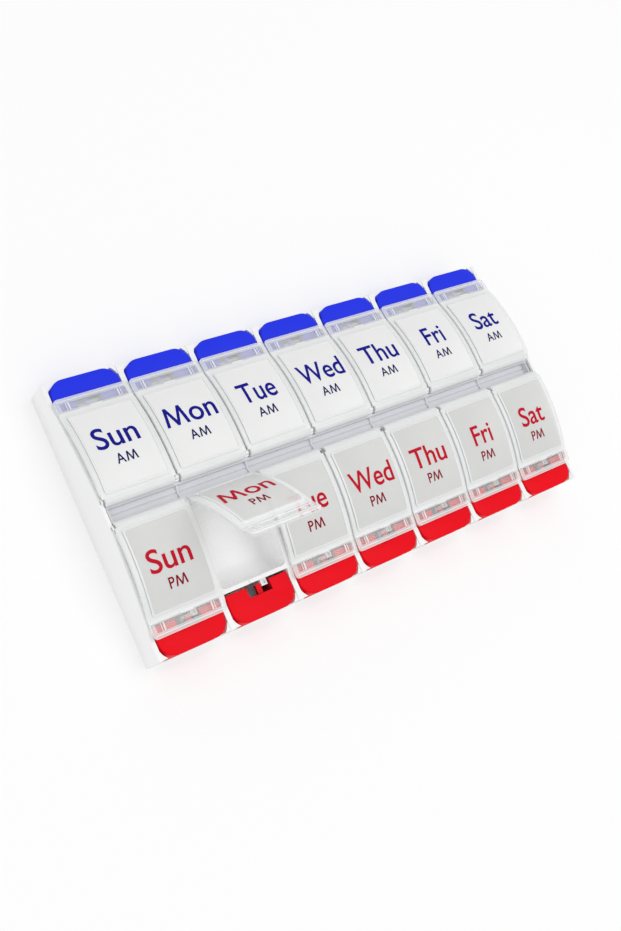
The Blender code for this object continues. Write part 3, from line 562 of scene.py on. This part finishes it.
def stripZ(y):
    # height of the strip's sloping top
    share = (y - lid["stripStart"]) / (lid["stripEnd"] - lid["stripStart"])
    return (1 - share) * archZ(lid["stripStart"]) + share * lid["stripTop"]


def archSlab(yFrom, yTo, topRise, bottomRise, half, steps):
    turnUp, turnDown = archTurn(yFrom, yTo, topRise), archTurn(yTo, yFrom, bottomRise)
    return outline((yFrom, archZ(yFrom, topRise)), [
        (*archCentre, turnUp, steps), (yTo, archZ(yTo, bottomRise)), (*archCentre, turnDown, steps)], 2 * half)


def lidMesh():
    a, t = lid, lid["thickness"]
    under, over = [layout["frontWall"] + past for past in a["wallGap"]]
    plate = outline((a["start"], archZ(a["start"])), [
        (*archCentre, archTurn(a["start"], a["stripStart"]), 28),
        (a["stripEnd"], a["stripTop"]), (a["stripEnd"], a["stripBottom"]), (over, a["stripInner"]),
        (over, a["overWall"]), (under, a["overWall"]), (under, archZ(under, -t)),
        (*archCentre, archTurn(under, a["start"], -t), 28)], 2 * a["half"])

    def onTop(edge):
        place = middle(edge)
        height = archZ(place.y) if place.y < a["stripStart"] else stripZ(place.y)
        return crisp(edge, 50) and place.z > height - 0.05

    bmesh.ops.bisect_plane(plate, geom=plate.verts[:] + plate.edges[:] + plate.faces[:],
                           plane_co=(0, a["bandEnd"], 0), plane_no=(0, 1, 0))
    soften(plate, a["stripCorner"], 6, lambda e: abs(middle(e).y - a["stripEnd"]) < 0.01 and abs(middle(e).x) > 14
           and abs(e.verts[0].co.z - e.verts[1].co.z) > 1)
    soften(plate, a["edge"], 3, onTop)

    def roundedSlab(inset, topRise, bottomRise, corner, edge, edgeRise):
        # a curved slab over the pill opening, its corners and one of its two faces' edges rounded
        half = a["panelHalf"] - inset
        slab = archSlab(a["panelStart"] + inset, a["panelEnd"] - inset, topRise, bottomRise, half, 30)
        soften(slab, corner, 4, lambda e: abs(middle(e).x) > half - 0.01 and crisp(e, 50)
               and abs(middle(e).z - archZ(middle(e).y, (topRise + bottomRise) / 2)) < 0.1)
        soften(slab, edge, 2, lambda e: crisp(e, 50) and abs(middle(e).z - archZ(middle(e).y, edgeRise)) < 0.05)
        return slab

    panel = roundedSlab(0.0, a["panelRise"], -0.6, a["panelCorner"], a["panelEdge"], a["panelRise"])
    floorRise = a["panelRise"] - a["windowDepth"]
    window = roundedSlab(a["windowInset"], a["panelRise"] + 0.6, floorRise, a["windowCorner"], a["windowEdge"],
                         floorRise)
    rimSweep = math.degrees(math.asin(layout["frontWall"] / layout["rimRadius"])
                            - math.asin(a["start"] / layout["rimRadius"]))
    skirts = [outline((a["start"], rimZ(a["start"]) + 0.3), [
        (0.0, layout["rimTop"] - layout["rimRadius"], -rimSweep, 24),
        (layout["frontWall"], archZ(layout["frontWall"], -t / 2)),
        (*archCentre, archTurn(layout["frontWall"], a["start"], -t / 2), 24)],
        a["skirt"] - a["skirtInset"], side * (a["half"] - a["skirt"] / 2 - a["skirtInset"])) for side in (-1, 1)]
    reach = a["start"] + t
    ay, az = layout["lidAxis"]
    nose = outline((ay, az + a["nose"]), [
        (ay, az, 90, 10), (ay - a["barrel"], az), (ay, az), (a["start"], archZ(a["start"], -t)),
        (reach, archZ(reach, -t) + 0.1), (reach, archZ(reach) - 0.05)], 2 * a["noseHalf"])
    soften(nose, a["noseEdge"], 3, lambda e: crisp(e, 60) and abs(middle(e).x) > a["noseHalf"] - 0.01
           and middle(e).z > az + 0.1 and middle(e).y < ay + 0.1)
    backY, backHalf, backZ = a["shoulder"]
    back = outline((backY, az + backZ), [(backY, az + 2.1), (a["start"] + 0.3, archZ(a["start"] + 0.3) - 0.02),
                                         (a["start"] + 0.3, archZ(a["start"] + 0.3, -t) + 0.05)], 2 * backHalf)
    creaseHalf, creaseY, creaseZ, creaseRadius = a["crease"]
    crease = rod(-creaseHalf, creaseHalf, ay + creaseY, az + a["nose"] + creaseZ, creaseRadius, 12)
    hx, hw, hy, hl, hz, foot = a["hook"]
    footTop = (hz + a["stripBottom"]) / 2
    hook = outline((hy, hz), [(hy + hl, hz), (hy + hl, a["hookRoot"]), (hy + hl - foot, a["hookRoot"]),
                              (hy + hl - foot, footTop), (hy, footTop)], hw, hx)

    def dip(yLow, yHigh, depth, xLow, xHigh):
        return outline((yLow, stripZ(yLow) - depth), [(yHigh, stripZ(yHigh) - depth), (yHigh, 18), (yLow, 18)],
                       xHigh - xLow, (xLow + xHigh) / 2)

    steps = [("UNION", nose), ("UNION", back), ("UNION", panel), ("DIFFERENCE", window), ("DIFFERENCE", crease),
             ("UNION", skirts[0]), ("UNION", skirts[1]),
             ("UNION", rod(-a["barrelHalf"], a["barrelHalf"], ay, az, a["barrel"], 24)),
             ("UNION", rod(-a["pinTip"], a["pinTip"], ay, az, a["pin"], 16)),
             ("UNION", hook)]
    steps += [("DIFFERENCE", dip(*a["pocketY"], a["pocketDepth"], *pocket)) for pocket in a["pockets"]]
    sx, stepRoot, stepTip, stepLow, stepHigh, stepRise = a["step"]
    step = block((sx - stepRoot / 2, stepLow, 15.9), (sx + stepRoot / 2, stepHigh, stripZ(stepHigh) + stepRise))
    tip = [vert for vert in step.verts if vert.co.y > stepHigh - 0.01]
    bmesh.ops.translate(step, vec=(-sx, 0, 0), verts=tip)
    bmesh.ops.scale(step, vec=(stepTip / stepRoot, 1, 1), verts=tip)
    bmesh.ops.translate(step, vec=(sx, 0, 0), verts=tip)
    steps.append(("UNION", step))
    grooveLow, grooveHigh, grooveDepth = a["beadGroove"]
    steps.append(("DIFFERENCE", dip(grooveLow, grooveHigh, grooveDepth, -14.0, 14.0)))
    return carve("lid", plate, steps)


def lidFinish(place, normal):
    # which polypropylene finish a face of the lid has: clear 0, frosted 1, dense with a painted highlight 2, cloudy 3
    a = lid
    rise = place.z - archZ(min(place.y, 40.0))
    side, facesUp = abs(place.x), normal.z > 0.8
    if place.y < a["panelStart"] and (place.z > 21.0 or place.y < 3.9):
        return 2                                                         # the hinge nose
    inPanel = side < a["panelHalf"] + 0.02 and a["panelStart"] - 0.02 < place.y < a["panelEnd"] + 0.02
    if inPanel and rise > 0.02:
        inner = (side < a["panelHalf"] - a["windowInset"] + 0.05
                 and a["panelStart"] + a["windowInset"] - 0.05 < place.y < a["panelEnd"] - a["windowInset"] + 0.05)
        return 1 if inner and facesUp else 2
    if facesUp and a["panelEnd"] < place.y < a["bandEnd"] and abs(place.z - 16.7) < 0.6:
        return 2                                                         # the band over the front wall
    if facesUp and place.y < 39.7 and -0.06 < rise < 0.02:
        return 2                                                         # the plate beside the panel
    if side > a["half"] - a["edge"] - 0.01 and place.z > rimZ(min(place.y, 40)) + 0.9 and place.y < 40:
        return 2                                                         # the plate's rounded sides
    if abs(place.x - a["step"][0]) < 3.0 and 39.7 < place.y < 40.65 and place.z > 16.0:
        return 2                                                         # the small step
    if place.y > 40.6:
        if facesUp and place.z > stripZ(place.y) - 0.1:
            # the ribs' denser finish carries the painted highlight
            return 2 if 9 < side < 11.5 and 41 < place.y < 43 else 3     # the ribs are denser than the strip
        if place.z > stripZ(place.y) - a["pocketDepth"] + 0.03:
            return 2                                                     # the pockets' walls
    return 0


sharedLid = lidMesh()
for face in sharedLid.polygons:
    face.material_index = lidFinish(face.center, face.normal)
for index, day in enumerate(layout["days"]):
    for row in layout["rows"]:
        node = f"lid_{day.lower()}_{row}"
        tilt = math.radians(layout["openAngle"]) if (day, row) == layout["openLid"] else 0.0
        shell = finished(f"lidShell_{day.lower()}_{row}", sharedLid,
                         [*((sheenClearPolypropylene, frostedPolypropylene) if row == "am"
                            else (clearPolypropylene, shadedFrostedPolypropylene)),
                          denseHighlightPolypropylene, cloudyPolypropylene],
                         piecePlace(index, row, tilt), node)
        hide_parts(node)
print("lids:", len(sharedLid.polygons), "faces each")


# Printed words

words = {
    "am": {"day": (22.2, 7.8, navyInk), "row": (15.5, 3.6, darkNavyInk)},   # baseline y, height of a capital, ink
    "pm": {"day": (-24.85, 7.8, redInk), "row": (-31.6, 3.7, darkRedInk)},
    "spans": {   # each run of letters with its first and last x
        "Sun": (("Sun", -8.9, 8.1),), "Mon": (("M", -11.2, -1.4), ("on", -0.6, 10.8)), "Tue": (("Tue", -8.3, 7.9),),
        "Wed": (("Wed", -10.3, 10.7),), "Thu": (("Thu", -9.0, 9.0),), "Fri": (("Fri", -5.2, 5.3),),
        "Sat": (("Sat", -7.1, 6.8),),
        "AM": (("A", -4.2, -0.8), ("M", -0.4, 4.1)), "PM": (("P", -3.7, -1.5), ("M", -1.2, 3.6))},
    # the M has slanted legs and a full middle; x and y of its outline, a capital's height being 1
    "letterM": ((0.0, 0.0), (0.19, 1.0), (0.345, 1.0), (0.635, 0.27), (0.915, 1.0), (1.07, 1.0), (1.256, 0.0),
                (1.085, 0.0), (0.955, 0.72), (0.7, 0.0), (0.565, 0.0), (0.29, 0.72), (0.165, 0.0)),
    "lift": 0.03, "thick": 0.05, "capShare": 0.66, "bold": 0.015,
}


def embolden(bm, amount):
    # each point of the flat letters' edges moves outwards, less than a full mitre at sharp corners
    moves = []
    for vert in bm.verts:
        away = Vector((0, 0, 0))
        for edge in vert.link_edges:
            if len(edge.link_faces) == 1:
                along = edge.verts[1].co - edge.verts[0].co
                side = Vector((along.y, -along.x, 0)).normalized()
                inward = edge.link_faces[0].calc_center_median() - edge.verts[0].co
                away += -side if side.dot(inward) > 0 else side
        if away.length > 0.05:
            moves.append((vert, away.normalized() * amount * min(2 / away.length, 1.4)))
    for vert, move in moves:
        vert.co += move


def flatLetters(text, capHeight):
    if text == "M":
        bm = bmesh.new()
        face = bm.faces.new([bm.verts.new((x * capHeight, y * capHeight, 0)) for x, y in words["letterM"]])
        bmesh.ops.triangulate(bm, faces=[face])
        return asMesh(text, bm)
    curve = bpy.data.curves.new(text, "FONT")
    curve.body = text
    curve.size = capHeight / words["capShare"]
    curve.resolution_u = 6
    holder = bpy.data.objects.new(text, curve)
    bpy.context.scene.collection.objects.link(holder)
    mesh = bpy.data.meshes.new_from_object(holder.evaluated_get(bpy.context.evaluated_depsgraph_get()))
    bpy.data.objects.remove(holder)
    bm = bmesh.new()
    bm.from_mesh(mesh)
    bmesh.ops.remove_doubles(bm, verts=bm.verts[:], dist=0.001)
    embolden(bm, words["bold"] * capHeight)
    return asMesh(text, bm)


def wordMesh(text, baseline, capHeight, row):
    bm = bmesh.new()
    for letters, first, last in words["spans"][text]:
        before = len(bm.verts)
        bm.from_mesh(flatLetters(letters, capHeight))
        bm.verts.ensure_lookup_table()
        fresh = bm.verts[before:]
        low, high = min(vert.co.x for vert in fresh), max(vert.co.x for vert in fresh)
        bmesh.ops.translate(bm, vec=(-low, baseline, 0), verts=fresh)
        bmesh.ops.scale(bm, vec=((last - first) / (high - low), 1, 1), verts=fresh)
        bmesh.ops.translate(bm, vec=(first, 0, 0), verts=fresh)
    for step in range(-3, 13):
        bmesh.ops.bisect_plane(bm, geom=bm.verts[:] + bm.edges[:] + bm.faces[:], plane_co=(0, baseline + step, 0),
                               plane_no=(0, 1, 0))
    grown = bmesh.ops.extrude_face_region(bm, geom=bm.faces[:])
    raised = [item for item in grown["geom"] if isinstance(item, bmesh.types.BMVert)]
    bmesh.ops.translate(bm, vec=(0, 0, words["thick"]), verts=raised)
    bmesh.ops.recalc_face_normals(bm, faces=bm.faces[:])
    bmesh.ops.transform(bm, matrix=rowTurn(row).inverted(), verts=bm.verts[:])
    rise = lid["panelRise"] - lid["windowDepth"] + words["lift"]
    for vert in bm.verts:   # the flat word takes the window's curve
        vert.co.z += archZ(vert.co.y, rise)
    return asMesh(text, bm)


for index, day in enumerate(layout["days"]):
    for row in layout["rows"]:
        tilt = math.radians(layout["openAngle"]) if (day, row) == layout["openLid"] else 0.0
        for kind, text in (("day", day), ("row", row.upper())):
            baseline, capHeight, ink = words[row][kind]
            finished(f"{kind}Name_{day.lower()}_{row}", wordMesh(text, baseline, capHeight, row), [ink],
                     piecePlace(index, row, tilt), f"lid_{day.lower()}_{row}")
print("words placed")


# Floor, light and camera

studio = {
    "floorSize": 4.0, "floorColor": "#FBFBFB",
    "floorGlow": 0.48,                            # share of plain white in the floor that the camera sees
    "roomLight": 0.68,                            # what the room adds all round
    "keyLamp": ((0.3, -0.05, 0.95), 1.3, 0.9, 0.31),      # direction, distance, size, level of the two lamps
    "sideLamp": ((-0.8, -0.2, 0.55), 1.3, 1.2, 0.18),
}
floorMesh = bmesh.new()
bmesh.ops.create_grid(floorMesh, x_segments=1, y_segments=1, size=studio["floorSize"])
floor = bpy.data.objects.new("floor", asMesh("floor", floorMesh))
bpy.context.scene.collection.objects.link(floor)
paper = bpy.data.materials.new("whitePaperSweep")
paper.use_nodes = True
tree = paper.node_tree
tree.nodes.clear()
lightPath = addNode(tree, "ShaderNodeLightPath")
seen = addNode(tree, "ShaderNodeMath", {"operation": "MAXIMUM"},
               {0: lightPath.outputs["Is Camera Ray"], 1: lightPath.outputs["Is Glossy Ray"]})
seenToo = addNode(tree, "ShaderNodeMath", {"operation": "MAXIMUM"},
                  {0: seen.outputs[0], 1: lightPath.outputs["Is Transmission Ray"]})
share = addNode(tree, "ShaderNodeMath", {"operation": "MULTIPLY", 1: studio["floorGlow"]}, {0: seenToo.outputs[0]})
sheet = addNode(tree, "ShaderNodeBsdfDiffuse", {"Color": linear(studio["floorColor"])})
glow = addNode(tree, "ShaderNodeEmission", {"Color": (1, 1, 1, 1), "Strength": 1.0})
mix = addNode(tree, "ShaderNodeMixShader", None, {0: share.outputs[0], 1: sheet.outputs[0], 2: glow.outputs[0]})
addNode(tree, "ShaderNodeOutputMaterial", None, {"Surface": mix.outputs[0]})
floor.data.materials.append(paper)

world = bpy.data.worlds.new("studio")
bpy.context.scene.world = world
world.use_nodes = True
tree = world.node_tree
tree.nodes.clear()
lightPath = addNode(tree, "ShaderNodeLightPath")
soft = addNode(tree, "ShaderNodeBackground", {"Color": (1, 1, 1, 1), "Strength": studio["roomLight"]})
white = addNode(tree, "ShaderNodeBackground", {"Color": (1, 1, 1, 1), "Strength": 1.0})
mix = addNode(tree, "ShaderNodeMixShader", None, {0: lightPath.outputs["Is Camera Ray"], 1: soft.outputs[0],
                                                  2: white.outputs[0]})
addNode(tree, "ShaderNodeOutputWorld", None, {"Surface": mix.outputs[0]})


def softLamp(name, direction, distance, size, level):
    # level is what it adds to a white surface that faces it
    lamp = bpy.data.lights.new(name, "AREA")
    lamp.shape = "SQUARE"
    lamp.size = size
    lamp.energy = level * math.pi ** 2 * distance ** 2
    holder = bpy.data.objects.new(name, lamp)
    toLamp = Vector(direction).normalized()
    holder.location = toLamp * distance
    holder.rotation_euler = (-toLamp).to_track_quat("-Z", "Y").to_euler()
    bpy.context.scene.collection.objects.link(holder)


for lampName in ("keyLamp", "sideLamp"):
    softLamp(lampName, *studio[lampName])

view = {"lens": 43.72, "place": (-0.25508, -0.05862, 0.38114), "turn": (20.66488, -26.88011, -27.59345)}
camera = bpy.data.cameras.new("camera")
camera.lens = view["lens"]
camera.sensor_width = 36.0
camera.clip_start, camera.clip_end = 0.01, 20.0
cameraObject = bpy.data.objects.new("camera", camera)
cameraObject.location = view["place"]
cameraObject.rotation_euler = [math.radians(angle) for angle in view["turn"]]
bpy.context.scene.collection.objects.link(cameraObject)
bpy.context.scene.camera = cameraObject
bpy.context.scene.view_settings.view_transform = "Standard"
print("stage and camera ready")
